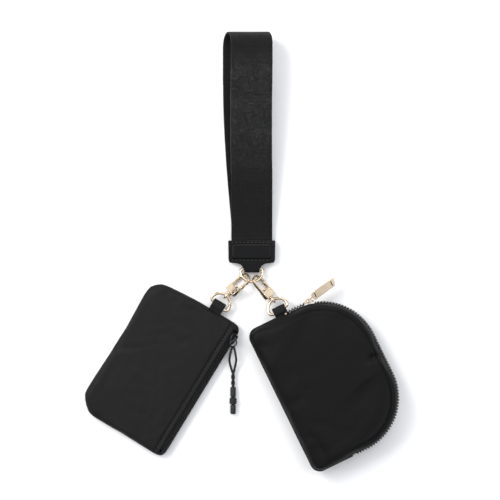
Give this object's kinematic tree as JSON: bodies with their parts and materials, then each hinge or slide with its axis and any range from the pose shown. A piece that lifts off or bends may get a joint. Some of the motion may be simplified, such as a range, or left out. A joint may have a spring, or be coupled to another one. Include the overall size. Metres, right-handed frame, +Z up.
{
  "type": "wristlet strap set with two zip pouches",
  "caption": "Black wrist strap with a D-ring and two snap hooks that carry a flat zip pouch and a half-round zip pouch.",
  "frame": {"origin": "on the ground under the middle of the set laid flat, its cord puller left out", "axes": "+Y from the pouches towards the tip of the wrist loop, +Z up, +X towards the half-round pouch"},
  "size_m": [0.2702, 0.3724, 0.026],
  "materials": {
    "webbing": "woven nylon tape",
    "nylon": "satin nylon",
    "gloss_leather": "smooth, semi-gloss",
    "gold": "polished pale gold plate",
    "black_metal": "black lacquer",
    "black_resin": "moulded zip teeth on woven tape"
  },
  "bodies": {
    "strap": {"strap_webbing": "webbing", "strap_yoke": "gloss_leather"},
    "main_ring": {"main_ring": "gold"},
    "left_hook": {"left_hook_frame": "gold", "left_gate_pin": "gold"},
    "left_gate": {"left_hook_gate": "gold"},
    "left_swivel": {"left_swivel_eye": "gold"},
    "card_ring": {"card_ring": "gold"},
    "card_pouch": {"card_back_panel": "nylon", "card_front_panel": "nylon", "card_tab": "webbing", "card_zip_front": "black_resin", "card_zip_back": "black_resin", "card_zip_stop": "black_metal"},
    "card_slider": {"card_slider": "black_metal"},
    "cord_puller": {"cord_ring": "black_metal", "cord_left": "webbing", "cord_right": "webbing", "cord_sleeve_upper": "nylon", "cord_knot": "webbing", "cord_sleeve_lower": "nylon"},
    "right_hook": {"right_hook_frame": "gold", "right_gate_pin": "gold"},
    "right_gate": {"right_hook_gate": "gold"},
    "right_swivel": {"right_swivel_eye": "gold"},
    "round_ring": {"round_ring": "gold"},
    "round_pouch": {"round_back_panel": "nylon", "round_tab": "webbing", "round_zip_back": "black_resin", "round_spine_band": "nylon", "round_zip_stop_upper": "gold", "round_zip_stop_lower": "gold"},
    "round_lid": {"round_front_panel": "nylon", "round_zip_front": "black_resin"},
    "round_slider": {"round_slider": "gold"},
    "round_puller": {"round_puller": "gold"}
  },
  "joints": [
    {"name": "main_ring_tilt", "type": "hinge", "parent": "strap", "child": "main_ring", "pos_m": [0.01051, -0.01492, 0.0038], "axis": [1, 0, 0], "range_deg": [-55, 60]},
    {"name": "left_hook_swing", "type": "hinge", "parent": "main_ring", "child": "left_hook", "pos_m": [0.01051, -0.01687, 0.00427], "axis": [0, 0.2328, 0.9725], "range_deg": [-5, 0]},
    {"name": "left_gate_open", "type": "hinge", "parent": "left_hook", "child": "left_gate", "pos_m": [-0.00295, -0.03487, 0.00978], "axis": [-0.5011, 0.5488, 0.6691], "range_deg": [0, 22], "stiffness_Nm_per_rad": 0.02, "springref_deg": -11.46},
    {"name": "left_swivel_turn", "type": "hinge", "parent": "left_hook", "child": "left_swivel", "pos_m": [0.00331, -0.02467, 0.0061], "axis": [-0.7385, -0.6743, 0], "range_deg": [-45, 45]},
    {"name": "card_ring_turn", "type": "hinge", "parent": "left_swivel", "child": "card_ring", "pos_m": [-0.01667, -0.04449, 0.0061], "axis": [0, 0, 1], "range_deg": [-20, 15]},
    {"name": "card_pouch_flap", "type": "hinge", "parent": "card_ring", "child": "card_pouch", "pos_m": [-0.01796, -0.04602, 0.0061], "axis": [-0.766, 0.6428, 0], "range_deg": [-35, 35]},
    {"name": "card_slider_travel", "type": "slide", "parent": "card_pouch", "child": "card_slider", "axis": [-0.5195, -0.8545, 0], "range_m": [0, 0.1]},
    {"name": "cord_puller_swing", "type": "hinge", "parent": "card_slider", "child": "cord_puller", "pos_m": [-0.00469, -0.07527, 0.01029], "axis": [0, 0, 1], "range_deg": [-8, 9]},
    {"name": "right_hook_swing", "type": "hinge", "parent": "main_ring", "child": "right_hook", "pos_m": [0.01051, -0.01687, 0.00427], "axis": [0, 0.2328, 0.9725], "range_deg": [0, 20]},
    {"name": "right_gate_open", "type": "hinge", "parent": "right_hook", "child": "right_gate", "pos_m": [0.0259, -0.03341, 0.00235], "axis": [0.625, 0.4972, 0.6018], "range_deg": [0, 22], "stiffness_Nm_per_rad": 0.02, "springref_deg": -11.46},
    {"name": "right_swivel_turn", "type": "hinge", "parent": "right_hook", "child": "right_swivel", "pos_m": [0.01641, -0.02627, 0.0063], "axis": [0.6225, -0.7826, 0], "range_deg": [-45, 45]},
    {"name": "round_ring_turn", "type": "hinge", "parent": "right_swivel", "child": "round_ring", "pos_m": [0.03309, -0.04854, 0.00873], "axis": [-0.1501, 0.2312, 0.9613], "range_deg": [-20, 20]},
    {"name": "round_pouch_flap", "type": "hinge", "parent": "round_ring", "child": "round_pouch", "pos_m": [0.03414, -0.05016, 0.00928], "axis": [-0.8387, -0.5446, 0], "range_deg": [-35, 35]},
    {"name": "round_slider_travel", "type": "hinge", "parent": "round_pouch", "child": "round_slider", "pos_m": [0.07036, -0.09112, 0.013], "axis": [0, 0, 1], "range_deg": [-75, 0]},
    {"name": "round_lid_open", "type": "hinge", "parent": "round_pouch", "child": "round_lid", "pos_m": [0.03483, -0.12959, 0.0166], "axis": [0.4384, -0.8988, 0], "range_deg": [0, 25]},
    {"name": "round_puller_swing", "type": "hinge", "parent": "round_slider", "child": "round_puller", "pos_m": [0.05832, -0.04133, 0.013], "axis": [0, 0, -1], "range_deg": [-100, 0]}
  ],
  "couplings": [
    {"joint": "round_lid_open", "follows": "round_slider_travel", "ratio": -0.32}
  ]
}
